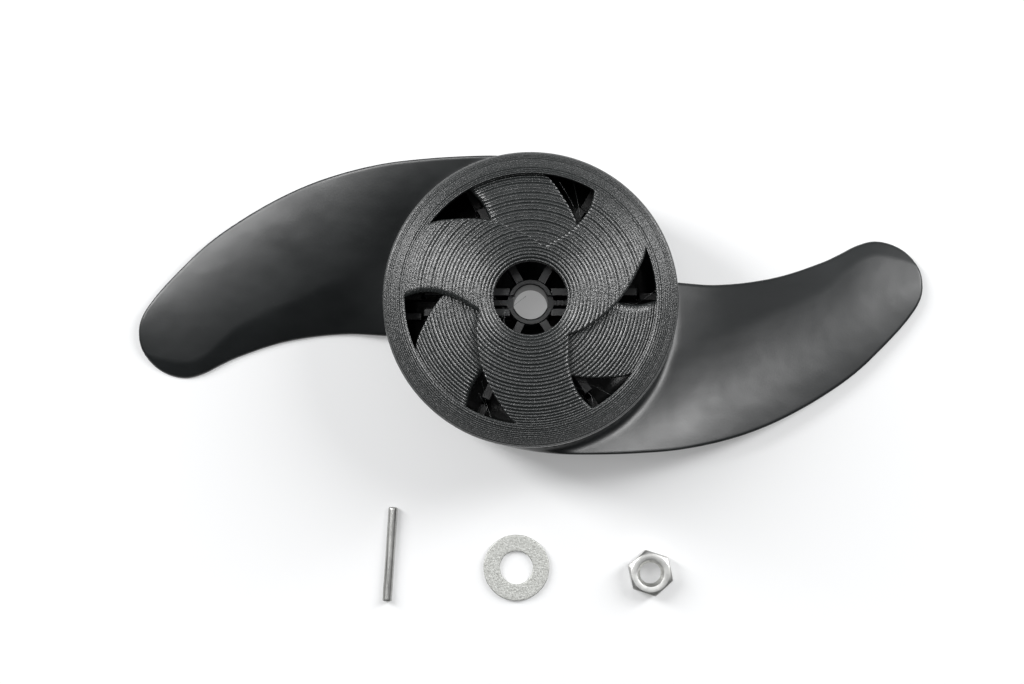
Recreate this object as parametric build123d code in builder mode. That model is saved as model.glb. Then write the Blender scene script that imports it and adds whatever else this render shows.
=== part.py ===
"""Two-blade trolling-motor propeller, its printed vent cover, and the loose pin, washer and nut.

Millimetres. The origin is the centre of the washer's seat at the aft end of the shaft bore, and
+Z runs along the shaft towards the motor, so the cover is on top and everything rests at REST_Z.
"""
from build123d import *
import os
from math import cos, radians, sin

os.makedirs("parts", exist_ok=True)

# Level of the surface that the blades and the loose hardware rest on
REST_Z = -13.7

# Hub shell: a cup, open towards the motor, with a rounded aft shoulder
HUB_R = 44.2
HUB_WALL = 2.5
RIM_Z = 34.2
SHOULDER_R = 11.0
NOSE_Z = -9.7
SHOULDER_Z = NOSE_Z + SHOULDER_R
FLOOR_Z = NOSE_Z + HUB_WALL
INNER_R = HUB_R - HUB_WALL

# Boss on a 10 mm shaft, with the drive-pin slot across it and the nut pocket behind it
BORE_R = 5.25
BOSS_R = 7.0
BOSS_Z = 24.0
BORE_CHAMFER = 0.4
POCKET_R = 13.0
POCKET_WALL = 2.3
SLOT_WIDTH = 4.1
SLOT_LENGTH = 30.8
SLOT_FLOOR_Z = 19.8
TOOTH_PITCH = 1.3
TOOTH_HEIGHT = 0.5
TOOTH_COUNT = 5

# Ribs from the boss to the shell
RIB_WIDTH = 2.4
RIB_ANGLES = (61, 118, -115, -57)
PAIR_WIDTH = 2.1
RIB_START = 6.2
RIB_TALL_R = 32.5
RIB_Z = 23.7
RIB_LOW_Z = 3.0

# Blade outline seen along the shaft, from the leading edge's root round the tip to the trailing root
OUTLINE = (
    (8, 43.6), (0, 45.2), (-10, 46.2), (-22, 46.3), (-34, 45.9), (-46, 44.9), (-58, 42.7),
    (-69, 39.5), (-80, 34.9), (-92, 28.3), (-103.5, 20.3), (-115, 9.3), (-121, 2.4),
    (-124.2, -2.8), (-125.1, -7.6), (-124.2, -12.8), (-120.7, -17.8), (-115.7, -20.9),
    (-110, -21.9), (-104.3, -20.4), (-98.6, -17.5), (-92.8, -14.9), (-81.3, -11.0),
    (-70, -8.8), (-58.5, -7.9), (-48.7, -8.4),
)
OUTLINE_INNER = ((-34, -9.5), (-20, -9.5), (2, 30))

# Blade sections across X: trailing edge, crease and leading edge on the cambered side, each as
# (y, height above REST_Z), then the thickness in the middle
SECTIONS = {
    8: ((-11, 6.3), (19, 17.5), (46.3, 30.6), 4.5),
    -20: ((-11, 6.3), (19, 15.5), (46.3, 25.2), 4.5),
    -44: ((-9, 4.6), (15, 11.4), (45.1, 19.0), 4.2),
    -60: ((-8, 1.6), (8.8, 8.6), (42.2, 14.2), 3.7),
    -76: ((-9.9, 1.3), (1.6, 6.4), (36.8, 10.6), 3.2),
    -92: ((-14.6, 1.3), (-5.4, 5.1), (28.3, 7.6), 2.8),
    -108: ((-21.6, 1.3), (-17.0, 3.3), (16.2, 5.6), 2.5),
    -118: ((-19.6, 1.3), (-16.0, 2.8), (6.0, 4.6), 2.3),
    -128: ((-15.0, 1.3), (-12.0, 2.5), (-3.0, 3.6), 2.0),
}
EDGE_THICKNESS = 1.3
STEPS = 3
CAMBER = 0.034
OVERLAP = 3.0

# Printed cover: a shallow dome seated on the hub's rim, with six openings between its vanes
COVER_R = 44.2
COVER_Z = 34.3
COVER_LAND = 1.2
DOME_RISE = 9.0
COVER_THICKNESS = 3.0
COVER_HOLE_R = 10.9
LIP_R = 14.7
LIP_DROP = 0.9
RING_R = 37.3
VANE_ROOT_R = 15.6
DOME_RADII = (LIP_R, 20, 26, 32, 37, 40.5, 43, COVER_R)
VANE_DROP = 2.2
SPIGOT_R = 41.4
SPIGOT_INNER_R = 38.4
SPIGOT_DEPTH = 4.5
SPIGOT_RISE = 3.2

# Vane edges as (radius, angle) from the hub axis, for the opening at 0 degrees
LONG_EDGE = ((14.6, -50.0), (15.6, -44.4), (20.5, -20.0), (26.1, -2.2), (32.0, 12.5), (37.3, 23.0),
             (39.0, 27.5))
SHORT_EDGE = ((14.6, 18.6), (15.6, 15.6), (20.4, 3.4), (26.1, -2.4), (31.5, -3.2), (37.3, -0.5),
              (39.2, 0.5))
VANE_ANGLES = (0, 120, 240)

# Loose hardware, laid on the same surface in front of the propeller
PIN_D = 3.0
PIN_LENGTH = 30.0
PIN_CHAMFER = 0.35
PIN_AT = (-44.7, -78.0)
PIN_TURN = -3.6
WASHER_R = 10.5
WASHER_HOLE_R = 5.25
WASHER_THICKNESS = 1.6
WASHER_AT = (-4.5, -82.3)
NUT_FLATS = 13.0
NUT_HEIGHT = 6.5
NUT_HOLE_R = 3.35
NUT_MOUTH_R = 4.25
NUT_CORNER_DROP = 0.6
NUT_FACE_MARGIN = 0.3
NUT_AT = (38.0, -83.8)
NUT_TURN = 12.0


def polar(radius, angle):
    return (radius * cos(radians(angle)), radius * sin(radians(angle)))


def hub_outside():
    """Closed half profile of the hub's outer envelope, for a revolve about Z."""
    Polyline((0, RIM_Z), (0, NOSE_Z), (HUB_R - SHOULDER_R, NOSE_Z))
    RadiusArc((HUB_R - SHOULDER_R, NOSE_Z), (HUB_R, SHOULDER_Z), -SHOULDER_R)
    Polyline((HUB_R, SHOULDER_Z), (HUB_R, RIM_Z), (0, RIM_Z))


def hub_inside(top):
    """Closed half profile of the space inside the shell, up to the given height."""
    inner = SHOULDER_R - HUB_WALL
    Polyline((0, top), (0, FLOOR_Z), (INNER_R - inner, FLOOR_Z))
    RadiusArc((INNER_R - inner, FLOOR_Z), (INNER_R, SHOULDER_Z), -inner)
    Polyline((INNER_R, SHOULDER_Z), (INNER_R, top), (0, top))


def blade_section(trailing, crease, leading, middle):
    """Closed section in the YZ plane, run past both edges so the outline can trim it."""
    run = (trailing[1] - crease[1]) / (trailing[0] - crease[0])
    chord = leading[0] - crease[0]
    rise = leading[1] - crease[1]
    back = (trailing[0] - OVERLAP, trailing[1] - OVERLAP * run)
    top = [crease]
    for share in (0.4, 0.75):
        lift = 4 * share * (1 - share) * CAMBER * chord
        top.append((crease[0] + share * chord, crease[1] + share * rise + lift))
    top.append(leading)
    top.append((leading[0] + OVERLAP, leading[1] - OVERLAP * CAMBER))
    depths = (0.8 * middle, middle, 0.8 * middle, EDGE_THICKNESS, EDGE_THICKNESS)
    under = [(y, z - depth) for (y, z), depth in zip(top, depths)]
    under.insert(0, (back[0], back[1] - EDGE_THICKNESS))
    Line(back, crease)
    Spline(*top)
    Line(top[-1], under[-1])
    Spline(*reversed(under))
    Line(under[0], back)


def between(before, start, end, after, share):
    """Smooth value at a share of the way from start to end, given their neighbours."""
    rise_start = (end - before) / 2
    rise_end = (after - start) / 2
    cube = 2 * (start - end) + rise_start + rise_end
    square = 3 * (end - start) - 2 * rise_start - rise_end
    return start + share * (rise_start + share * (square + share * cube))


def blade_stations():
    """The given sections with STEPS smooth ones in each gap, as (x, trailing, crease, leading, middle)."""
    rows = [(x, *a, *b, *c, depth) for x, (a, b, c, depth) in SECTIONS.items()]
    padded = [rows[0]] + rows + [rows[-1]]
    fine = []
    for i in range(len(rows) - 1):
        for step in range(STEPS):
            four = padded[i:i + 4]
            values = [between(*column, step / STEPS) for column in zip(*four)]
            fine.append(values)
    fine.append(rows[-1])
    return [(v[0], (v[1], v[2] + REST_Z), (v[3], v[4] + REST_Z), (v[5], v[6] + REST_Z), v[7])
            for v in fine]


# ---------------------------------------------------------------- blade, later joined to the hub
with BuildPart() as blade:
    for x, *section in blade_stations():
        with BuildSketch(Plane.YZ.offset(x)):
            with BuildLine():
                blade_section(*section)
            make_face()
    loft(ruled=True)
    with BuildSketch(Plane.XY.offset(REST_Z)):
        with BuildLine():
            Spline(*OUTLINE)
            Polyline(OUTLINE[-1], *OUTLINE_INNER, OUTLINE[0])
        make_face()
    extrude(amount=RIM_Z - REST_Z, mode=Mode.INTERSECT)
    with BuildSketch(Plane.XZ):
        with BuildLine():
            hub_inside(RIM_Z)
        make_face()
    revolve(axis=Axis.Z, mode=Mode.SUBTRACT)

# ---------------------------------------------------------------- propeller, one moulding
with BuildPart() as propeller:
    # Ribs: four single ones, and a pair each side of the drive-pin slot
    with BuildSketch(Plane.XY.offset(NOSE_Z)):
        for angle in RIB_ANGLES:
            with Locations(Rotation(0, 0, angle)):
                with Locations((RIB_START + HUB_R / 2, 0)):
                    Rectangle(HUB_R, RIB_WIDTH)
        for side in (-1, 1):
            with Locations((0, side * (SLOT_WIDTH + PAIR_WIDTH) / 2)):
                Rectangle(2 * HUB_R, PAIR_WIDTH)
    extrude(amount=RIB_LOW_Z - NOSE_Z)
    with BuildSketch(Plane.XY.offset(RIB_LOW_Z)) as tall_ribs:
        for angle in RIB_ANGLES:
            with Locations(Rotation(0, 0, angle)):
                with Locations(((RIB_START + RIB_TALL_R) / 2, 0)):
                    Rectangle(RIB_TALL_R - RIB_START, RIB_WIDTH)
        for side in (-1, 1):
            with Locations((0, side * (SLOT_WIDTH + PAIR_WIDTH) / 2)):
                Rectangle(2 * RIB_TALL_R, PAIR_WIDTH)
    extrude(amount=RIB_Z - RIB_LOW_Z)
    # Boss, and the solid web that the drive pin lies on
    with BuildSketch(Plane.XY):
        Circle(BOSS_R)
    extrude(amount=BOSS_Z)
    with BuildSketch(Plane.XY):
        Rectangle(SLOT_LENGTH + 2 * PAIR_WIDTH, SLOT_WIDTH + PAIR_WIDTH)
    extrude(amount=RIB_Z)
    with BuildSketch(Plane.XZ):
        with BuildLine():
            hub_outside()
        make_face()
    revolve(axis=Axis.Z, mode=Mode.INTERSECT)
    # Shell
    with BuildSketch(Plane.XZ):
        with BuildLine():
            hub_outside()
        make_face()
        with BuildLine():
            hub_inside(RIM_Z)
        make_face(mode=Mode.SUBTRACT)
    revolve(axis=Axis.Z)
    # Nut pocket wall and roof
    with BuildSketch(Plane.XY.offset(NOSE_Z)):
        Circle(POCKET_R + POCKET_WALL)
    extrude(amount=POCKET_WALL - NOSE_Z)
    with BuildSketch(Plane.XY.offset(NOSE_Z)):
        Circle(POCKET_R)
    extrude(amount=-NOSE_Z, mode=Mode.SUBTRACT)
    # Drive-pin slot, with small teeth left across its floor on one side
    with BuildSketch(Plane.XY.offset(SLOT_FLOOR_Z)):
        Rectangle(SLOT_LENGTH, SLOT_WIDTH)
    extrude(amount=BOSS_Z - SLOT_FLOOR_Z, mode=Mode.SUBTRACT)
    with BuildSketch(Plane.XY.offset(SLOT_FLOOR_Z)):
        with Locations((BOSS_R + TOOTH_PITCH * TOOTH_COUNT / 2, 0)):
            with GridLocations(TOOTH_PITCH, 0, TOOTH_COUNT, 1):
                Rectangle(TOOTH_PITCH / 2, SLOT_WIDTH)
    extrude(amount=TOOTH_HEIGHT)
    # Shaft bore
    with BuildSketch(Plane.XY):
        Circle(BORE_R)
    extrude(amount=BOSS_Z, mode=Mode.SUBTRACT)
    add(blade.part)
    add(blade.part.rotate(Axis.Z, 180))
propeller.part.label = "propeller_moulding"
export_step(propeller.part, "parts/propeller_moulding.step")


def dome_height(radius):
    return COVER_Z + COVER_LAND + DOME_RISE * (1 - (radius / COVER_R) ** 2) ** 0.5


def dome_band(radii, drop):
    """Closed half profile of a dome shell, lowered by drop and never below the hub's rim."""
    upper = [(radius, dome_height(radius) - drop) for radius in radii]
    upper.insert(0, (COVER_HOLE_R, dome_height(LIP_R) - LIP_DROP - drop))
    lower = [(radius, max(height - COVER_THICKNESS, COVER_Z)) for radius, height in upper]
    Polyline(*upper, *reversed(lower), upper[0])


def vane_outline(long_angle, short_angle):
    """Closed outline between a long vane edge at one angle and a short one at another."""
    long_side = [polar(radius, angle + long_angle) for radius, angle in LONG_EDGE]
    short_side = [polar(radius, angle + short_angle) for radius, angle in SHORT_EDGE]
    Spline(*long_side)
    Line(long_side[-1], short_side[-1])
    Spline(*reversed(short_side))
    Line(short_side[0], long_side[0])


# ---------------------------------------------------------------- printed vent cover
# The three raised vanes run from the centre ring to the rim ring, all on the full dome
with BuildPart() as raised:
    with BuildSketch(Plane.XZ):
        with BuildLine():
            dome_band(DOME_RADII, 0)
        make_face()
    revolve(axis=Axis.Z)
    with BuildSketch(Plane.XY.offset(COVER_Z)):
        Circle(COVER_R)
        Circle(RING_R, mode=Mode.SUBTRACT)
        Circle(VANE_ROOT_R)
        for angle in VANE_ANGLES:
            with BuildLine():
                vane_outline(angle, angle + 60)
            make_face()
    extrude(amount=2 * DOME_RISE, mode=Mode.INTERSECT)

# The three sunken vanes lie lower, and run under the raised edges on both sides
with BuildPart() as sunken:
    with BuildSketch(Plane.XZ):
        with BuildLine():
            dome_band(DOME_RADII[:-2], VANE_DROP)
        make_face()
    revolve(axis=Axis.Z)
    with BuildSketch(Plane.XY.offset(COVER_Z - VANE_DROP)):
        for angle in VANE_ANGLES:
            with BuildLine():
                vane_outline(angle + 60, angle + 120)
            make_face()
    extrude(amount=2 * DOME_RISE, mode=Mode.INTERSECT)

with BuildPart() as cover:
    add(raised.part)
    add(sunken.part)
    with BuildSketch(Plane.XY.offset(COVER_Z - SPIGOT_DEPTH)):
        Circle(SPIGOT_R)
        Circle(SPIGOT_INNER_R, mode=Mode.SUBTRACT)
    extrude(amount=SPIGOT_DEPTH + SPIGOT_RISE)
cover.part.label = "hub_cover"
export_step(cover.part, "parts/hub_cover.step")

# ---------------------------------------------------------------- loose hardware
with BuildPart() as pin:
    with Locations(Location((*PIN_AT, REST_Z + PIN_D / 2), (90, PIN_TURN, 0))):
        Cylinder(PIN_D / 2, PIN_LENGTH)
    chamfer(pin.edges().filter_by(GeomType.CIRCLE), PIN_CHAMFER)
pin.part.label = "drive_pin"
export_step(pin.part, "parts/drive_pin.step")

with BuildPart() as washer:
    with BuildSketch(Plane.XY.offset(REST_Z)):
        with Locations(WASHER_AT):
            Circle(WASHER_R)
            Circle(WASHER_HOLE_R, mode=Mode.SUBTRACT)
    extrude(amount=WASHER_THICKNESS)
washer.part.label = "washer"
export_step(washer.part, "parts/washer.step")

with BuildPart() as nut:
    with BuildSketch(Plane.XY.offset(REST_Z)):
        with Locations(NUT_AT):
            RegularPolygon(NUT_FLATS / 2, 6, major_radius=False, rotation=NUT_TURN)
            Circle(NUT_HOLE_R, mode=Mode.SUBTRACT)
    extrude(amount=NUT_HEIGHT)
    # The corners are turned down to a cone at both faces
    half = NUT_HEIGHT / 2
    corner_r = NUT_FLATS / 3 ** 0.5
    face_r = NUT_FLATS / 2 - NUT_FACE_MARGIN
    with BuildSketch(Plane((*NUT_AT, REST_Z + half), x_dir=(1, 0, 0), z_dir=(0, -1, 0))):
        with BuildLine():
            Polyline((0, -half), (face_r, -half), (corner_r, NUT_CORNER_DROP - half),
                     (corner_r, half - NUT_CORNER_DROP), (face_r, half), (0, half), (0, -half))
        make_face()
    revolve(axis=Axis((*NUT_AT, 0), (0, 0, 1)), mode=Mode.INTERSECT)
    chamfer(nut.edges().filter_by(GeomType.CIRCLE).filter_by(lambda e: e.radius < NUT_MOUTH_R),
            NUT_MOUTH_R - NUT_HOLE_R)
nut.part.label = "nut"
export_step(nut.part, "parts/nut.step")
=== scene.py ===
"""Looks of the trolling-motor propeller. Metres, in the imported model's frame; mm in the constants."""
import math

import bmesh
import bpy
import numpy as np
from mathutils import Matrix, Vector


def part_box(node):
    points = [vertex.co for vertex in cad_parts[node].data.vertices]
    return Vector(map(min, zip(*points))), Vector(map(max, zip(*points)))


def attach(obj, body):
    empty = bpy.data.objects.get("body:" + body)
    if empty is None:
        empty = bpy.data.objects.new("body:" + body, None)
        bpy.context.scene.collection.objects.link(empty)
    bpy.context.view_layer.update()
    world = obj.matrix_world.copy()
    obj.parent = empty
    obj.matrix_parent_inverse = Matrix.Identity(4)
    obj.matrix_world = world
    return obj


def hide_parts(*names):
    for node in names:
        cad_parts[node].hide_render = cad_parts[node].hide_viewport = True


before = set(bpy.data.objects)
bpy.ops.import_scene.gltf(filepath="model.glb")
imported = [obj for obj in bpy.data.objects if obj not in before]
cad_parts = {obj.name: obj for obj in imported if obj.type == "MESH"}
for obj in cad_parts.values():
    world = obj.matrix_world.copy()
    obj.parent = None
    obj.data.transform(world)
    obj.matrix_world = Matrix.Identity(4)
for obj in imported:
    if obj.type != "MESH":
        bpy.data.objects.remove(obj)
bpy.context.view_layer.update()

MM = 0.001
scene = bpy.context.scene
REST_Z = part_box("washer")[0].z / MM

# ------------------------------------------------------------------ sizes shared with the frame
HUB_R = 44.2
HUB_WALL = 2.5
RIM_Z = 34.2
SHOULDER_R = 11.0
NOSE_Z = -9.7
SHOULDER_Z = NOSE_Z + SHOULDER_R
FLOOR_Z = NOSE_Z + HUB_WALL
INNER_R = HUB_R - HUB_WALL
BORE_R = 5.25
BOSS_R = 7.0
BOSS_Z = 24.0
POCKET_R = 13.0
POCKET_WALL = 2.3
SLOT_W = 4.1
SLOT_L = 30.8
SLOT_Z = 19.8
WEB_W = 1.7
RIB_W = 2.4
PAIR_W = 2.1
RIB_ANGLES = (61, 118, -115, -57)
RIB_TALL_R = 32.5
RIB_Z = 23.7
RIB_LOW_Z = 3.0

OUTLINE = np.array([
    (8, 43.6), (0, 45.2), (-10, 46.2), (-22, 46.3), (-34, 45.9), (-46, 44.9), (-58, 42.7),
    (-69, 39.5), (-80, 34.9), (-92, 28.3), (-103.5, 20.3), (-115, 9.3), (-121, 2.4),
    (-124.2, -2.8), (-125.1, -7.6), (-124.2, -12.8), (-120.7, -17.8), (-115.7, -20.9),
    (-110, -21.9), (-104.3, -20.4), (-98.6, -17.5), (-92.8, -14.9), (-81.3, -11.0),
    (-70, -8.8), (-58.5, -7.9), (-48.7, -8.4), (-34, -9.5), (-20, -9.5)], float)
# x, trailing (y, height), crease (y, height), leading (y, height), middle thickness
SECTIONS = np.array([
    (8, -11, 6.3, 19, 17.5, 46.3, 30.6, 4.5), (-20, -11, 6.3, 19, 15.5, 46.3, 25.2, 4.5),
    (-44, -9, 4.6, 15, 11.4, 45.1, 19.0, 4.2), (-60, -8, 1.6, 8.8, 8.6, 42.2, 14.2, 3.7),
    (-76, -9.9, 1.3, 1.6, 6.4, 36.8, 10.6, 3.2), (-92, -14.6, 1.3, -5.4, 5.1, 28.3, 7.6, 2.8),
    (-108, -21.6, 1.3, -17.0, 3.3, 16.2, 5.6, 2.5), (-118, -19.6, 1.3, -16.0, 2.8, 6.0, 4.6, 2.3),
    (-128, -15.0, 1.3, -12.0, 2.5, -3.0, 3.6, 2.0)], float)
CAMBER = 0.034
EDGE_T = 1.35
EDGE_ROUND = 0.75
EDGE_REACH = 9.0
FILLET_TOP = 3.5
FILLET_UNDER = 2.0
BLADE_INNER_X = 8.0
TRIM_DEPTH = 1.2

COVER_R = 44.2
COVER_Z = 34.3
COVER_LAND = 1.2
DOME_RISE = 9.0
COVER_T = 3.0
HOLE_R = 10.9
LIP_R = 14.7
LIP_DROP = 0.9
RING_R = 37.3
ROOT_R = 15.6
VANE_DROP = 2.2
LONG_EDGE = np.array([(14.6, -50.0), (15.6, -44.4), (20.5, -20.0), (26.1, -2.2), (32.0, 12.5),
                      (37.3, 23.0), (39.0, 27.5)])
SHORT_EDGE = np.array([(14.6, 18.6), (15.6, 15.6), (20.4, 3.4), (26.1, -2.4), (31.5, -3.2),
                       (37.3, -0.5), (39.2, 0.5)])
VANE_ANGLES = (0, 120, 240)
BEAD_HEIGHT = 0.25
BEADS_PER_MM = 0.95
STEEP_R = 33.0
SPIGOT_OUTER = 41.35
SPIGOT_INNER = 38.45
SPIGOT_DEPTH = 4.5
SPIGOT_TOP = 7.6
BEAD_LAYER = 0.2
TOOTH_COUNT = 5
TOOTH_PITCH = 1.3
TOOTH_FIRST = 0.65
TOOTH_HALF = 0.33
TOOTH_H = 0.5

PIN_AT, PIN_TURN = (-44.7, -78.0), math.radians(90 - 3.6)
PIN_R, PIN_HALF = 1.5, 15.0
NUT_AT, NUT_TURN = (38.0, -83.8), math.radians(12.0)
NUT_HEIGHT, NUT_FLATS, NUT_CORNER_R, NUT_FACE_R = 6.5, 13.0, 7.42, 6.05
THREAD_R, THREAD_DEPTH, THREAD_PITCH = 3.35, 0.5, 1.25
MOUTH_R = 4.45
WASHER_AT = (-4.5, -82.3)
WASHER_BORE_R, WASHER_R = 5.25, 10.5
WASHER_LOW, WASHER_HIGH = 0.02, 1.58
FLOOR_SIZE = 3000
FLOOR_GAP = 0.02


# ------------------------------------------------------------------ helpers
def hermite(x, xs, ys):
    """Smooth curve through points given in rising xs, with centred slopes."""
    xs, ys = np.asarray(xs, float), np.asarray(ys, float)
    slope = np.gradient(ys, xs, axis=0)
    i = np.clip(np.searchsorted(xs, x) - 1, 0, len(xs) - 2)
    h = xs[i + 1] - xs[i]
    t = np.clip((x - xs[i]) / h, 0, 1)
    if ys.ndim > 1:
        h, t = h[:, None], t[:, None]
    a, b, m, n = ys[i], ys[i + 1], slope[i] * h, slope[i + 1] * h
    return a + t * (m + t * (3 * (b - a) - 2 * m - n + t * (2 * (a - b) + m + n)))


def new_object(name, verts, faces, material, body="propeller", slot=None, smooth=True):
    mesh = bpy.data.meshes.new(name)
    mesh.from_pydata((np.asarray(verts) * MM).tolist(), [], faces)
    bm = bmesh.new()
    bm.from_mesh(mesh)
    bmesh.ops.recalc_face_normals(bm, faces=bm.faces)
    bm.to_mesh(mesh)
    bm.free()
    if smooth:
        mesh.polygons.foreach_set("use_smooth", [True] * len(mesh.polygons))
    mesh.materials.append(material)
    obj = bpy.data.objects.new(name, mesh)
    scene.collection.objects.link(obj)
    if body:
        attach(obj, body)
    return obj


def grid(points, wrap_u=False, wrap_v=False, base=0):
    """Vertices and quads of a grid of points[u, v]."""
    points = np.asarray(points, float)
    nu, nv = points.shape[:2]
    u = np.arange(nu if wrap_u else nu - 1)
    v = np.arange(nv if wrap_v else nv - 1)
    uu, vv = np.meshgrid(u, v, indexing="ij")
    u1, v1 = (uu + 1) % nu, (vv + 1) % nv
    quads = np.stack([uu * nv + vv, u1 * nv + vv, u1 * nv + v1, uu * nv + v1], -1).reshape(-1, 4)
    return points.reshape(-1, 3), (quads + base).tolist()


def lathe(profile, steps=180, centre=(0, 0)):
    """Points[angle, station] of a profile of (radius, height) turned about Z."""
    angle = np.linspace(0, 2 * np.pi, steps, endpoint=False)[:, None]
    r, z = np.asarray(profile, float).T
    return np.stack([centre[0] + r * np.cos(angle), centre[1] + r * np.sin(angle),
                     np.broadcast_to(z, (steps, len(z)))], -1)


def rounded(corners, radius=0.3, steps=4):
    """A closed profile with each corner rounded."""
    corners = [np.array(c, float) for c in corners]
    out = []
    for i, corner in enumerate(corners):
        before, after = corners[i - 1] - corner, corners[(i + 1) % len(corners)] - corner
        room = min(radius, np.linalg.norm(before) / 2.1, np.linalg.norm(after) / 2.1)
        a = corner + before / np.linalg.norm(before) * room
        b = corner + after / np.linalg.norm(after) * room
        for t in np.linspace(0, 1, steps + 1):
            out.append((1 - t) ** 2 * a + 2 * t * (1 - t) * corner + t ** 2 * b)
    return out


def arc(centre, radius, start, end, steps):
    """Points on an arc in the (radius, height) plane, in degrees."""
    turn = np.radians(np.linspace(start, end, steps))
    return [(centre[0] + radius * np.cos(t), centre[1] + radius * np.sin(t)) for t in turn]


# ------------------------------------------------------------------ materials
def nodes_of(name):
    material = bpy.data.materials.new(name)
    material.use_nodes = True
    tree = material.node_tree
    return material, tree, tree.nodes["Principled BSDF"]


def noise(tree, scale, detail=3.0, rough=0.5, stretch=(1, 1, 1)):
    """A noise texture on object coordinates, in cycles per metre."""
    coords = tree.nodes.new("ShaderNodeTexCoord")
    mapping = tree.nodes.new("ShaderNodeMapping")
    mapping.inputs["Scale"].default_value = stretch
    texture = tree.nodes.new("ShaderNodeTexNoise")
    texture.inputs["Scale"].default_value = scale
    texture.inputs["Detail"].default_value = detail
    texture.inputs["Roughness"].default_value = rough
    tree.links.new(coords.outputs["Object"], mapping.inputs["Vector"])
    tree.links.new(mapping.outputs["Vector"], texture.inputs["Vector"])
    return texture.outputs["Fac"]


def ramp(tree, source, stops):
    node = tree.nodes.new("ShaderNodeValToRGB")
    elements = node.color_ramp.elements
    while len(elements) < len(stops):
        elements.new(0.5)
    for element, (place, colour) in zip(elements, stops):
        element.position = place
        element.color = (*colour, 1) if len(colour) == 3 else colour
    tree.links.new(source, node.inputs["Fac"])
    return node.outputs["Color"]


def grey(value):
    return (value, value, value)


def remap(tree, source, low, high, source_low=0.3, source_high=0.7):
    node = tree.nodes.new("ShaderNodeMapRange")
    node.inputs["From Min"].default_value = source_low
    node.inputs["From Max"].default_value = source_high
    node.inputs["To Min"].default_value = low
    node.inputs["To Max"].default_value = high
    tree.links.new(source, node.inputs["Value"])
    return node.outputs["Result"]


def bump(tree, shader, height, strength, distance, before=None):
    node = tree.nodes.new("ShaderNodeBump")
    node.inputs["Strength"].default_value = strength
    node.inputs["Distance"].default_value = distance
    tree.links.new(height, node.inputs["Height"])
    if before:
        tree.links.new(before, node.inputs["Normal"])
    tree.links.new(node.outputs["Normal"], shader.inputs["Normal"])
    return node.outputs["Normal"]


def moulded_plastic():
    """Black glass-filled nylon: satin, with flow marks, fine grain and a little dust."""
    material, tree, shader = nodes_of("moulded_black")
    cloud = noise(tree, 28, 4, 0.6, (1, 1.6, 1))
    speck = noise(tree, 2600, 2, 0.5)
    base = ramp(tree, cloud, [(0.3, (0.0045, 0.0056, 0.0060)), (0.7, (0.0085, 0.0102, 0.0108))])
    dust = ramp(tree, speck, [(0.73, grey(0)), (0.80, grey(1))])
    mix = tree.nodes.new("ShaderNodeMix")
    mix.data_type = "RGBA"
    mix.inputs["B"].default_value = (0.05, 0.055, 0.055, 1)
    tree.links.new(dust, mix.inputs["Factor"])
    tree.links.new(base, mix.inputs["A"])
    tree.links.new(mix.outputs["Result"], shader.inputs["Base Color"])
    tree.links.new(remap(tree, cloud, 0.31, 0.43), shader.inputs["Roughness"])
    grain = noise(tree, 1500, 3, 0.6)
    wave = noise(tree, 60, 2, 0.5)
    first = bump(tree, shader, wave, 0.35, 0.0008)
    bump(tree, shader, grain, 0.12, 0.0001, first)
    shader.inputs["IOR"].default_value = 1.6
    return material


def printed_plastic():
    """Dark grey filament: glossy beads with a fine sparkle."""
    material, tree, shader = nodes_of("printed_black")
    cloud = noise(tree, 60, 3, 0.6)
    spark = noise(tree, 2600, 2, 0.7)
    base = ramp(tree, cloud, [(0.3, (0.009, 0.0105, 0.0105)), (0.7, (0.015, 0.017, 0.017))])
    tree.links.new(base, shader.inputs["Base Color"])
    tree.links.new(remap(tree, spark, 0.16, 0.32), shader.inputs["Roughness"])
    fine = noise(tree, 1700, 3, 0.65)
    bump(tree, shader, fine, 1.0, 0.00013)
    shader.inputs["IOR"].default_value = 1.6
    shader.inputs["Specular IOR Level"].default_value = 0.75
    return material


def steel(name, colour, rough, stretch, scale=900, strength=0.25):
    """Steel with fine drawn or turned scratches along one direction."""
    material, tree, shader = nodes_of(name)
    lines = noise(tree, scale, 4, 0.7, stretch)
    stain = noise(tree, 160, 3, 0.6)
    dark = tuple(0.72 * c for c in colour)
    base = ramp(tree, stain, [(0.32, dark), (0.6, colour)])
    tree.links.new(base, shader.inputs["Base Color"])
    shader.inputs["Metallic"].default_value = 1.0
    tree.links.new(remap(tree, lines, rough - 0.08, rough + 0.12), shader.inputs["Roughness"])
    bump(tree, shader, lines, strength, 0.00006)
    return material


def zinc():
    """Tumbled zinc: matt, pale, peppered with small dark and bright flecks."""
    material, tree, shader = nodes_of("tumbled_zinc")
    fleck = noise(tree, 1500, 3, 0.75)
    base = ramp(tree, fleck, [(0.36, (0.40, 0.40, 0.38)), (0.47, (0.52, 0.525, 0.50)),
                              (0.62, (0.64, 0.645, 0.62))])
    tree.links.new(base, shader.inputs["Base Color"])
    shader.inputs["Metallic"].default_value = 0.75
    tree.links.new(remap(tree, fleck, 0.62, 0.42), shader.inputs["Roughness"])
    bump(tree, shader, fleck, 0.6, 0.00025)
    return material


MOULDED = moulded_plastic()
PRINTED = printed_plastic()
PIN_STEEL = steel("drawn_steel", (0.47, 0.47, 0.455), 0.34, (1, 0.06, 1))
NUT_STEEL = steel("nut_steel", (0.74, 0.74, 0.72), 0.40, (1, 1, 0.1), 700)
ZINC = zinc()


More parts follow.
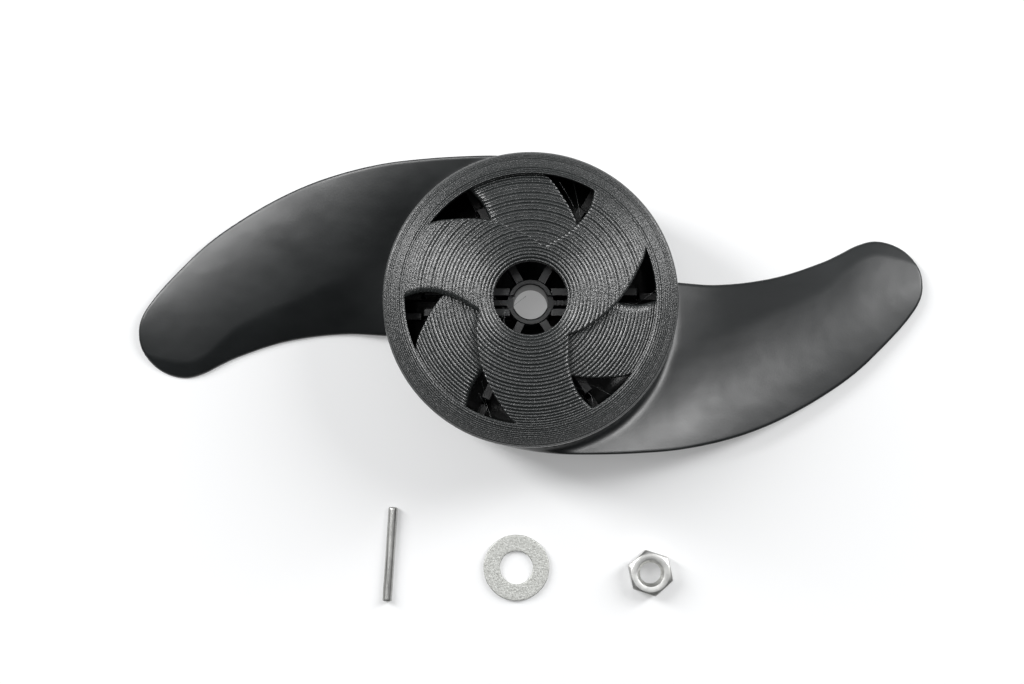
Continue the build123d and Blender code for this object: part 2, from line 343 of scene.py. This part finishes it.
# ------------------------------------------------------------------ hub shell, boss and ribs
def shell_profile():
    inner = SHOULDER_R - HUB_WALL
    centre = (HUB_R - SHOULDER_R, SHOULDER_Z)
    outside = arc(centre, SHOULDER_R, -90, 0, 14) + [(HUB_R, z) for z in (8, 16, 24, 33.4)]
    rim = [(HUB_R - 0.1, RIM_Z - 0.35), (HUB_R - 0.4, RIM_Z - 0.05), (HUB_R - 1.2, RIM_Z),
           (INNER_R + 0.4, RIM_Z - 0.05), (INNER_R + 0.05, RIM_Z - 0.4)]
    inside = [(INNER_R, z) for z in (24, 12)] + arc(centre, inner, 0, -90, 10)
    pocket = [(POCKET_R + POCKET_WALL + 1, FLOOR_Z), (POCKET_R + POCKET_WALL, FLOOR_Z + 1),
              (POCKET_R + POCKET_WALL, POCKET_WALL - 0.4), (POCKET_R + POCKET_WALL - 0.4, POCKET_WALL),
              (BOSS_R + 0.6, POCKET_WALL), (BOSS_R, POCKET_WALL + 0.6), (BOSS_R, SLOT_Z),
              (BORE_R, SLOT_Z), (BORE_R, 0.3), (BORE_R + 0.3, 0), (POCKET_R - 0.4, 0),
              (POCKET_R, -0.4), (POCKET_R, NOSE_Z + 0.4), (POCKET_R + 0.4, NOSE_Z)]
    return outside + rim + inside + pocket


verts, faces = grid(lathe(shell_profile(), 288), True, True)
hub = new_object("hub_shell", verts, faces, MOULDED, slot="black_moulding")
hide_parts("propeller_moulding")
hub.modifiers.new("edges", "EDGE_SPLIT").split_angle = math.radians(50)


def prism(outline, low, high, edge=0.25):
    """A closed prism on a flat outline, with a small bevel round its top."""
    outline = np.array(outline, float)
    middle = outline.mean(0)
    n = len(outline)
    rings = []
    for z, inset in ((low, 0), (high - edge, 0), (high - 0.3 * edge, 0.3 * edge), (high, edge)):
        away = outline - middle
        reach = np.linalg.norm(away, axis=1, keepdims=True)
        ring = outline - away / reach * inset * 1.4
        rings.append(np.c_[ring, np.full(n, z)])
    points = np.concatenate(rings)
    faces = [list(range(n))[::-1], [3 * n + i for i in range(n)]]
    for k in range(3):
        for i in range(n):
            j = (i + 1) % n
            faces.append([k * n + i, k * n + j, (k + 1) * n + j, (k + 1) * n + i])
    return points, faces


def merge(parts):
    """Several (points, faces) pairs as one."""
    points, faces, base = [], [], 0
    for p, f in parts:
        points.append(p)
        faces += [[i + base for i in face] for face in f]
        base += len(p)
    return np.concatenate(points), faces


def bar(x0, x1, y0, y1, low, high, angle=0.0):
    c, s = math.cos(math.radians(angle)), math.sin(math.radians(angle))
    corners = [(x0, y0), (x1, y0), (x1, y1), (x0, y1)]
    return prism([(c * x - s * y, s * x + c * y) for x, y in corners], low, high)


def boss_half(side):
    """The boss above the slot's floor, on one side of the slot."""
    gap = SLOT_W / 2
    outer0, inner0 = math.asin(gap / BOSS_R), math.asin(gap / BORE_R)
    turn = np.linspace(outer0, math.pi - outer0, 30)
    back = np.linspace(math.pi - inner0, inner0, 30)
    points = [(BOSS_R * math.cos(t), side * BOSS_R * math.sin(t)) for t in turn]
    points += [(BORE_R * math.cos(t), side * BORE_R * math.sin(t)) for t in back]
    n, half = len(points), len(points) // 2
    flat = np.array(points)
    low = np.c_[flat, np.full(n, SLOT_Z)]
    high = np.c_[flat, np.full(n, BOSS_Z - 0.3)]
    scale = np.where(np.arange(n) < half, (BOSS_R - 0.3) / BOSS_R, (BORE_R + 0.35) / BORE_R)
    top = np.c_[flat * scale[:, None], np.full(n, BOSS_Z)]
    points3 = np.concatenate([low, high, top])
    faces = []
    for k in range(2):
        for i in range(n):
            j = (i + 1) % n
            faces.append([k * n + i, k * n + j, (k + 1) * n + j, (k + 1) * n + i])
    for i in range(half - 1):
        faces.append([2 * n + i, 2 * n + i + 1, 2 * n + n - 2 - i, 2 * n + n - 1 - i])
        faces.append([i, n - 1 - i, n - 2 - i, i + 1])
    return points3, faces


ribs = [boss_half(1), boss_half(-1)]
reach = INNER_R + 0.8
for angle in RIB_ANGLES:
    ribs.append(bar(BOSS_R - 0.5, reach - 8, -RIB_W / 2, RIB_W / 2, FLOOR_Z - 0.5, RIB_LOW_Z, angle))
    ribs.append(bar(reach - 12, reach, -RIB_W / 2, RIB_W / 2, SHOULDER_Z, RIB_LOW_Z, angle))
    ribs.append(bar(BOSS_R - 0.5, RIB_TALL_R, -RIB_W / 2, RIB_W / 2, RIB_LOW_Z - 1, RIB_Z, angle))
for side in (-1, 1):
    for way in (0, 180):
        inner_y, outer_y = side * SLOT_W / 2, side * (SLOT_W / 2 + PAIR_W)
        y0, y1 = min(inner_y, outer_y), max(inner_y, outer_y)
        ribs.append(bar(BORE_R + 1, reach - 8, y0, y1, FLOOR_Z - 0.5, RIB_LOW_Z, way))
        ribs.append(bar(reach - 12, reach, y0, y1, SHOULDER_Z, RIB_LOW_Z, way))
        ribs.append(bar(BORE_R + 1, RIB_TALL_R, y0, y1, RIB_LOW_Z - 1, RIB_Z, way))
for way in (0, 180):
    ribs.append(bar(BOSS_R - 0.4, SLOT_L / 2 + 1, -WEB_W / 2, WEB_W / 2, FLOOR_Z - 0.5, SLOT_Z, way))
    ribs.append(bar(SLOT_L / 2, SLOT_L / 2 + PAIR_W, -SLOT_W / 2 - 0.1, SLOT_W / 2 + 0.1, 0.5,
                    RIB_Z - 0.2, way))
for k in range(TOOTH_COUNT):
    x = BOSS_R + TOOTH_FIRST + TOOTH_PITCH * k
    ribs.append(bar(x - TOOTH_HALF, x + TOOTH_HALF, -WEB_W / 2, WEB_W / 2, SLOT_Z - 0.2, SLOT_Z + TOOTH_H))
new_object("hub_ribs", *merge(ribs), MOULDED, slot="black_moulding", smooth=False)


# ------------------------------------------------------------------ blades
def blade_points(sections_count=150, across=44):
    """Closed sections from the hub to the tip, thinning to a round edge all the way round."""
    path_at = np.linspace(0, len(OUTLINE) - 1, 4000)
    path = hermite(path_at, np.arange(len(OUTLINE)), OUTLINE)
    tip = int(path[:, 0].argmin())
    lead, trail = path[:tip + 1][::-1], path[tip:]
    tip_x = path[tip, 0]
    share = np.linspace(0, 1, sections_count)
    xs = tip_x + 0.002 + (BLADE_INNER_X - tip_x - 0.01) * share ** 1.8
    order = SECTIONS[::-1]
    spec = hermite(xs, order[:, 0], order[:, 1:])
    y_lead = np.interp(xs, lead[:, 0], lead[:, 1])
    y_trail = np.interp(np.minimum(xs, -20.2), trail[:, 0], trail[:, 1])
    v = (1 - np.cos(np.linspace(0, np.pi, across))) / 2
    y = y_trail[:, None] + (y_lead - y_trail)[:, None] * v
    x = np.broadcast_to(xs[:, None], y.shape)
    ty, tz, cy, cz, ly, lz, mid = spec.T[:, :, None]
    run = (cz - tz) / (cy - ty)
    strip = cz + (y - cy) * run
    s = np.clip((y - cy) / (ly - cy), 0, 1.2)
    vault = cz + s * (lz - cz) + 4 * s * (1 - s) * CAMBER * (ly - cy)
    top = np.where(y < cy, strip, vault)
    # distance to the outline, for the rounding of the edge
    rim = path[::4]
    flat = np.stack([x, y], -1).reshape(-1, 2)
    near = np.full(len(flat), 1e9)
    for i in range(len(rim) - 3):
        near = np.minimum(near, np.hypot(*(flat - rim[i]).T))
    near = near.reshape(y.shape)
    near[:, 0] = near[:, -1] = 0
    inside = np.where(y < cy, 0.8 * mid, mid)
    share_in = np.clip(near / EDGE_REACH, 0, 1)
    thick = EDGE_T + (inside - EDGE_T) * share_in * share_in * (3 - 2 * share_in)
    round_in = np.sqrt(np.clip(1 - (1 - np.clip(near / EDGE_ROUND, 0, 1)) ** 2, 0, 1))
    middle = top - EDGE_T / 2
    high = middle + EDGE_T / 2 * round_in
    low = middle - EDGE_T / 2 * round_in - (thick - EDGE_T)
    # a fillet where the blade meets the hub's wall
    out = np.hypot(x, y) - HUB_R
    for size, sign in ((FILLET_TOP, 1), (FILLET_UNDER, -1)):
        d = np.clip(out / size, 0, 1)
        lift = size * (1 - np.sqrt(1 - (1 - d) ** 2)) * (out < size)
        lift = np.where(high > 12, lift, lift * np.clip(high / 12, 0, 1))
        if sign > 0:
            high = high + lift * round_in
        else:
            low = low - lift * round_in * np.clip((low - 12) / 6, 0, 1)
    loop = np.concatenate([np.stack([x, y, high], -1), np.stack([x, y, low], -1)[:, -2:0:-1]], 1)
    loop[..., 2] += REST_Z
    loop[..., 2] = np.maximum(loop[..., 2], REST_Z + 0.02)
    return loop


def blade_object(name, turn):
    loop = blade_points()
    c, s = math.cos(turn), math.sin(turn)
    spun = loop.copy()
    spun[..., 0] = c * loop[..., 0] - s * loop[..., 1]
    spun[..., 1] = s * loop[..., 0] + c * loop[..., 1]
    verts, faces = grid(spun, False, True)
    n = loop.shape[1]
    faces.append(list(range(n)))
    faces.append([(loop.shape[0] - 1) * n + i for i in range(n)][::-1])
    return new_object(name, verts, faces, MOULDED, slot="black_moulding")


def hub_cutter():
    """The hub's envelope taken in a little, run down past the floor, which trims the blades' roots."""
    inner = SHOULDER_R - TRIM_DEPTH
    centre = (HUB_R - SHOULDER_R, SHOULDER_Z)
    profile = [(0.01, REST_Z - 2), (centre[0], REST_Z - 2)] + arc(centre, inner, -90, 0, 12)
    profile += [(HUB_R - TRIM_DEPTH, RIM_Z + 8), (0.01, RIM_Z + 8)]
    verts, faces = grid(lathe(profile, 144), True, False)
    return new_object("cutter", verts, faces, MOULDED, body=None)


cutter = hub_cutter()
for name, turn in (("blade_left", 0.0), ("blade_right", math.pi)):
    blade = blade_object(name, turn)
    trim = blade.modifiers.new("trim", "BOOLEAN")
    trim.object = cutter
    trim.operation = "DIFFERENCE"
    trim.solver = "EXACT"
    bpy.context.view_layer.update()
    depsgraph = bpy.context.evaluated_depsgraph_get()
    done = bpy.data.meshes.new_from_object(blade.evaluated_get(depsgraph))
    blade.modifiers.clear()
    blade.data = done
bpy.data.objects.remove(cutter)


# ------------------------------------------------------------------ printed cover
def ridge(r):
    """Height of the print's concentric beads at a radius, finer on the steep rim."""
    past = r - STEEP_R
    steep = STEEP_R * BEADS_PER_MM + past * BEADS_PER_MM + past ** 2 * 0.055
    phase = np.where(r < STEEP_R, r * BEADS_PER_MM, steep)
    return BEAD_HEIGHT * (np.abs(np.sin(np.pi * phase)) ** 0.8 - 0.6)


def dome(r):
    r = np.minimum(r, COVER_R)
    z = COVER_Z + COVER_LAND + DOME_RISE * np.sqrt(np.clip(1 - (r / COVER_R) ** 2, 0, 1))
    lip = np.clip((LIP_R - r) / (LIP_R - HOLE_R), 0, 1)
    return z - LIP_DROP * lip ** 2 * 1.15


def top_height(r, drop=0.0):
    return dome(r) - drop + ridge(r)


def bevel(d, size):
    """Drop of a rounded edge at distance d from it."""
    t = 1 - np.clip(d / size, 0, 1)
    return size * (1 - np.sqrt(np.clip(1 - t * t, 0, 1))) * 0.8


def edge_angle(table, r):
    return hermite(r, table[:, 0], table[:, 1])


def vane(name, turn, drop, r_in, r_out, thick, long_bevel, short_bevel):
    """One swirl vane: closed sections at rising radius, between the long and the short edge."""
    rs = np.linspace(r_in, r_out, int((r_out - r_in) / 0.125))
    start = edge_angle(LONG_EDGE, rs) + turn
    end = edge_angle(SHORT_EDGE, rs) + turn + 60
    inner = np.linspace(0, 1, 60)
    margin = np.array([0.0, 0.004, 0.010, 0.018, 0.030])
    share = np.unique(np.concatenate([margin, 1 - margin, 0.03 + 0.94 * inner]))
    angle = np.radians(start[:, None] + (end - start)[:, None] * share)
    r = rs[:, None]
    wide = np.radians(end - start)[:, None] * r
    slant = 0.62
    z = top_height(r + 0 * angle, drop)
    z = z - bevel(wide * share * slant, long_bevel) - bevel(wide * (1 - share) * slant, short_bevel)
    floor = dome(r) - drop - thick + 0 * angle
    x, y = r * np.cos(angle), r * np.sin(angle)
    loop = np.concatenate([np.stack([x, y, z], -1), np.stack([x, y, floor], -1)[:, ::-1]], 1)
    verts, faces = grid(loop, False, True)
    n, last = loop.shape[1], (loop.shape[0] - 1) * loop.shape[1]
    for j in range(n // 2 - 1):
        for base in (0, last):
            faces.append([base + j, base + j + 1, base + n - 2 - j, base + n - 1 - j])
    return verts, faces


def raised_share(angle_deg):
    """1 where a raised vane meets the rim ring and 0 where the ring's inner step shows."""
    at_ring = np.array([RING_R])
    first = edge_angle(LONG_EDGE, at_ring)[0]
    width = (edge_angle(SHORT_EDGE, at_ring)[0] + 60 - first) % 360
    out = np.zeros_like(angle_deg)
    for turn in VANE_ANGLES:
        rel = (angle_deg - turn - first) % 360
        out = np.maximum(out, np.clip((np.minimum(rel, width - rel)) / 0.8, 0, 1))
    return out


def ring(r_in, r_out, thick, steps, inner_bevel=0.0, foot=None):
    """A ring of the dome, closed underneath, with its inner edge rounded where no vane joins."""
    rs = np.linspace(r_in, r_out, int((r_out - r_in) / 0.11))
    deg = np.linspace(0, 360, steps, endpoint=False)
    angle = np.radians(deg)[:, None]
    z = np.broadcast_to(top_height(rs), (steps, len(rs))).copy()
    if inner_bevel:
        z -= (1 - raised_share(deg))[:, None] * bevel(rs - r_in, inner_bevel)
    low = np.maximum(dome(rs) - thick, foot if foot is not None else -99)
    low = np.broadcast_to(low, z.shape)
    x, y = rs * np.cos(angle), rs * np.sin(angle)
    loop = np.concatenate([np.stack([x, y, z], -1), np.stack([x, y, low], -1)[:, ::-1]], 1)
    return grid(loop, True, True)


def hole_ring():
    """The centre ring with its rolled lip."""
    rs = np.linspace(HOLE_R, ROOT_R, 44)
    top = [(r, float(top_height(np.array(r)))) for r in rs]
    top[0] = (HOLE_R, top[0][1] - 0.25)
    wall = [(HOLE_R - 0.02 + 0.05 * (k % 2), top[0][1] - 0.2 * k) for k in range(14, 0, -1)]
    under = [(ROOT_R, top[-1][1] - COVER_T), (HOLE_R + 0.2, top[0][1] - COVER_T)]
    return grid(lathe(wall + top + under, 240), True, True)


def spigot():
    """The short tube that goes into the hub, with its layer lines."""
    layers = np.arange(0, SPIGOT_TOP, BEAD_LAYER)
    foot = COVER_Z - SPIGOT_DEPTH
    outer = [(SPIGOT_OUTER + 0.04 * (k % 2), foot + z) for k, z in enumerate(layers)]
    inner = [(SPIGOT_INNER - 0.04 * (k % 2), foot + z) for k, z in enumerate(layers)][::-1]
    return grid(lathe(outer + inner, 240), True, True)


cover_parts = [hole_ring(), ring(RING_R, COVER_R - 0.03, COVER_T, 540, 0.7, COVER_Z), spigot()]
for turn in VANE_ANGLES:
    cover_parts.append(vane("raised", turn, 0.0, ROOT_R, RING_R, COVER_T, 0.7, 1.1))
cover = new_object("cover_dome", *merge(cover_parts), PRINTED, "cover", "black_print")
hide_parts("hub_cover")
sunken = [vane("sunken", turn + 60, VANE_DROP, ROOT_R, RING_R + 1.1, COVER_T, 0.7, 1.6)
          for turn in VANE_ANGLES]
new_object("cover_sunken_vanes", *merge(sunken), PRINTED, "cover", "black_print")
for obj in (cover, bpy.data.objects["cover_sunken_vanes"]):
    obj.modifiers.new("edges", "EDGE_SPLIT").split_angle = math.radians(62)


def strand(points, thickness=0.055, sides=6, steps=20):
    """A thin drawn-out string of filament through the points."""
    points = np.array(points, float)
    path = hermite(np.linspace(0, len(points) - 1, steps), np.arange(len(points)), points)
    tangent = np.gradient(path, axis=0)
    tangent /= np.linalg.norm(tangent, axis=1, keepdims=True)
    side = np.cross(tangent, (0, 0, 1))
    side /= np.linalg.norm(side, axis=1, keepdims=True)
    up = np.cross(side, tangent)
    turn = np.linspace(0, 2 * np.pi, sides, endpoint=False)
    width = thickness * (0.6 + 0.4 * np.abs(np.linspace(-1, 1, steps)))[:, None]
    ring_points = [path + width * (side * math.cos(t) + up * math.sin(t)) for t in turn]
    return grid(np.stack(ring_points, 1), False, True)


def polar3(r, deg, z):
    return (r * math.cos(math.radians(deg)), r * math.sin(math.radians(deg)), z)


STRANDS = [
    [polar3(11, 215, 40.5), polar3(6, 205, 38.6), polar3(1.5, 150, 39.0)],
    [polar3(11, 222, 41.0), polar3(7, 196, 39.4), polar3(4.5, 170, 39.6)],
    [polar3(11, 178, 41.2), polar3(8.5, 199, 39.5), polar3(11, 226, 40.8)],
    [polar3(27.5, 60, 37.5), polar3(31, 66, 36.2), polar3(36, 76, 37.0)],
    [polar3(28, 57, 36.5), polar3(33, 65, 36.0), polar3(37.4, 70, 37.4)],
    [polar3(28, -3, 37.0), polar3(32, -2, 35.8), polar3(37.4, 4, 37.0)],
    [polar3(27, -62, 36.8), polar3(32, -54, 35.8), polar3(37.4, -50, 37.0)],
    [polar3(29, -64, 36.8), polar3(33, -58, 36.4), polar3(37.4, -60, 37.0)],
    [polar3(28, -121, 36.8), polar3(33, -114, 36.2), polar3(37.4, -108, 37.2)],
    [polar3(32, -119, 36.8), polar3(35, -112, 36.4), polar3(37.4, -112, 37.2)],
]
new_object("cover_strings", *merge([strand(s) for s in STRANDS]), PRINTED, "cover", "black_print")

# ------------------------------------------------------------------ loose hardware
def pin_piece():
    half, r = PIN_HALF, PIN_R
    ends = [(0.01, -half), (0.9, -half + 0.02), (1.18, -half + 0.07), (1.42, -half + 0.26),
            (r, -half + 0.5), (r, -half + 0.9)]
    middle = [(r + 0.004 * math.sin(3 * z), z) for z in np.linspace(-13.5, 13.5, 28)]
    profile = ends + middle + [(a, -b) for a, b in reversed(ends)]
    points = lathe(profile, 64)
    along = points[..., 2].copy()
    across, up = points[..., 0].copy(), points[..., 1].copy()
    c, s = math.cos(PIN_TURN), math.sin(PIN_TURN)
    spun = np.stack([PIN_AT[0] + c * along - s * across, PIN_AT[1] + s * along + c * across,
                     REST_Z + r + up], -1)
    verts, faces = grid(spun, True, False)
    n, m = points.shape[1], points.shape[0]
    faces.append([k * n for k in range(m)])
    faces.append([k * n + n - 1 for k in range(m)])
    return verts, faces


pin = new_object("pin_body", *pin_piece(), PIN_STEEL, "pin", "pin_steel")
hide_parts("drive_pin")


def washer_piece():
    """Stamped: every edge rounded, and the outline slightly uneven."""
    corners = [(WASHER_BORE_R, WASHER_LOW), (WASHER_R, WASHER_LOW), (WASHER_R, WASHER_HIGH),
               (WASHER_BORE_R, WASHER_HIGH)]
    profile = []
    shape = rounded(corners, 0.35, 5)
    for a, b in zip(shape, shape[1:] + shape[:1]):
        count = max(1, int(np.linalg.norm(b - a) / 0.4))
        profile += [a + (b - a) * t for t in np.linspace(0, 1, count, endpoint=False)]
    points = lathe(profile, 220)
    angle = np.linspace(0, 2 * np.pi, 220, endpoint=False)[:, None]
    wave = 0.03 * np.sin(3 * angle + 1) + 0.02 * np.sin(11 * angle) + 0.015 * np.sin(23 * angle + 2)
    reach = 1 + wave / WASHER_R
    points[..., 0] *= reach
    points[..., 1] *= reach
    points += np.array([*WASHER_AT, REST_Z])
    return grid(points, True, True)


washer = new_object("washer_body", *washer_piece(), ZINC, "washer", "washer_zinc")
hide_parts("washer")


def nut_piece():
    """Hexagon nut: coned corners, countersunk mouths and a threaded hole."""
    height, face_r = NUT_HEIGHT, NUT_FACE_R
    angle = np.linspace(0, 2 * np.pi, 192, endpoint=False)
    hexagon = NUT_FLATS / 2 / np.cos((angle + math.pi / 6) % (math.pi / 3) - math.pi / 6)
    hexagon = np.minimum(hexagon, NUT_CORNER_R)
    cone = np.clip((hexagon - face_r) * math.tan(math.radians(30)), 0.12, None)
    steps = []
    thread = np.linspace(0.9, height - 0.9, 31)
    for z in thread:
        turns = (z - angle * THREAD_PITCH / (2 * np.pi)) / THREAD_PITCH
        steps.append((THREAD_R + THREAD_DEPTH * np.abs(turns % 1 - 0.5) * 2, z + 0 * angle))
    steps.append((MOUTH_R - 0.2 + 0 * angle, height - 0.06 + 0 * angle))
    steps.append((MOUTH_R + 0 * angle, height + 0 * angle))
    steps.append((face_r - 0.15 + 0 * angle, height + 0 * angle))
    steps.append((face_r + 0.05 + 0 * angle, height - 0.04 + 0 * angle))
    steps.append((hexagon - 0.12, height - cone + 0.05))
    steps.append((hexagon, height - cone - 0.10))
    for z in (0.75, 0.5, 0.25):
        steps.append((hexagon, cone + 0.1 + (height - 2 * cone - 0.2) * z))
    steps.append((hexagon, cone + 0.10))
    steps.append((hexagon - 0.12, cone - 0.05))
    steps.append((face_r + 0.05 + 0 * angle, 0.04 + 0 * angle))
    steps.append((face_r - 0.15 + 0 * angle, 0 * angle))
    steps.append((MOUTH_R + 0 * angle, 0 * angle))
    steps.append((MOUTH_R - 0.2 + 0 * angle, 0.06 + 0 * angle))
    r = np.stack([radius for radius, height_at in steps], 1)
    z = np.stack([height_at for radius, height_at in steps], 1)
    turn = angle[:, None] + NUT_TURN
    points = np.stack([NUT_AT[0] + r * np.cos(turn), NUT_AT[1] + r * np.sin(turn), REST_Z + z], -1)
    return grid(points, True, True)


nut = new_object("nut_body", *nut_piece(), NUT_STEEL, "nut", "nut_steel")
nut.modifiers.new("edges", "EDGE_SPLIT").split_angle = math.radians(24)
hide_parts("nut")


# ------------------------------------------------------------------ stage, light and camera
def floor():
    """White paper, lit a little from beneath."""
    material, tree, shader = nodes_of("paper")
    shader.inputs["Base Color"].default_value = (0.62, 0.624, 0.628, 1)
    shader.inputs["Emission Color"].default_value = (1, 1, 1, 1)
    shader.inputs["Emission Strength"].default_value = 0.27
    shader.inputs["Roughness"].default_value = 0.9
    size = FLOOR_SIZE
    corners = [(-size, -size, 0), (size, -size, 0), (size, size, 0), (-size, size, 0)]
    points = np.array(corners, float) + (0, 0, REST_Z - FLOOR_GAP)
    obj = new_object("floor", points, [[0, 1, 2, 3]], material, body=None)


floor()


def softbox(name, place, target, size, power):
    light = bpy.data.lights.new(name, "AREA")
    light.shape = "RECTANGLE"
    light.size, light.size_y = size
    light.energy = power
    obj = bpy.data.objects.new(name, light)
    scene.collection.objects.link(obj)
    aim = Vector(target) - Vector(place)
    obj.matrix_world = Matrix.Translation(place) @ aim.to_track_quat("-Z", "Y").to_matrix().to_4x4()


softbox("left_box", (-0.80, 0.40, 0.80), (0, 0, 0), (0.25, 0.9), 12.0)
softbox("right_box", (0.80, 0.42, 0.80), (0, 0, 0), (0.25, 0.9), 11.0)
softbox("top_lamp", (-0.17, 0.06, 1.25), (0, 0, 0), (0.15, 0.15), 0.8)

# A studio ceiling: brightest overhead and towards the back, dark towards the front
world = bpy.data.worlds.new("studio")
scene.world = world
world.use_nodes = True
sky = world.node_tree
background = sky.nodes["Background"]
background.inputs["Color"].default_value = (0.97, 0.985, 1.0, 1)
direction = sky.nodes.new("ShaderNodeTexCoord")
facing = sky.nodes.new("ShaderNodeVectorMath")
facing.operation = "DOT_PRODUCT"
facing.inputs[1].default_value = Vector((0, 0.50, 0.87)).normalized()
glow = sky.nodes.new("ShaderNodeMapRange")
glow.interpolation_type = "SMOOTHSTEP"
glow.inputs["From Min"].default_value = 0.50
glow.inputs["From Max"].default_value = 0.97
glow.inputs["To Min"].default_value = 0.04
glow.inputs["To Max"].default_value = 0.62
sky.links.new(direction.outputs["Generated"], facing.inputs[0])
sky.links.new(facing.outputs["Value"], glow.inputs["Value"])
sky.links.new(glow.outputs["Result"], background.inputs["Strength"])
scene.view_settings.view_transform = "Standard"

camera_data = bpy.data.cameras.new("camera")
camera_data.lens = 76.88
camera_data.clip_end = 20
camera = bpy.data.objects.new("camera", camera_data)
scene.collection.objects.link(camera)
eye = Vector((-0.4, -44.9, 700.0 + REST_Z)) * MM
look = Vector((-5.9, -10.3, REST_Z)) * MM
forward = (look - eye).normalized()
right = forward.cross(Vector((0, 1, 0))).normalized()
up = right.cross(forward)
turn = Matrix((right, up, -forward)).transposed().to_4x4()
camera.matrix_world = Matrix.Translation(eye) @ turn
scene.camera = camera

bpy.context.view_layer.update()
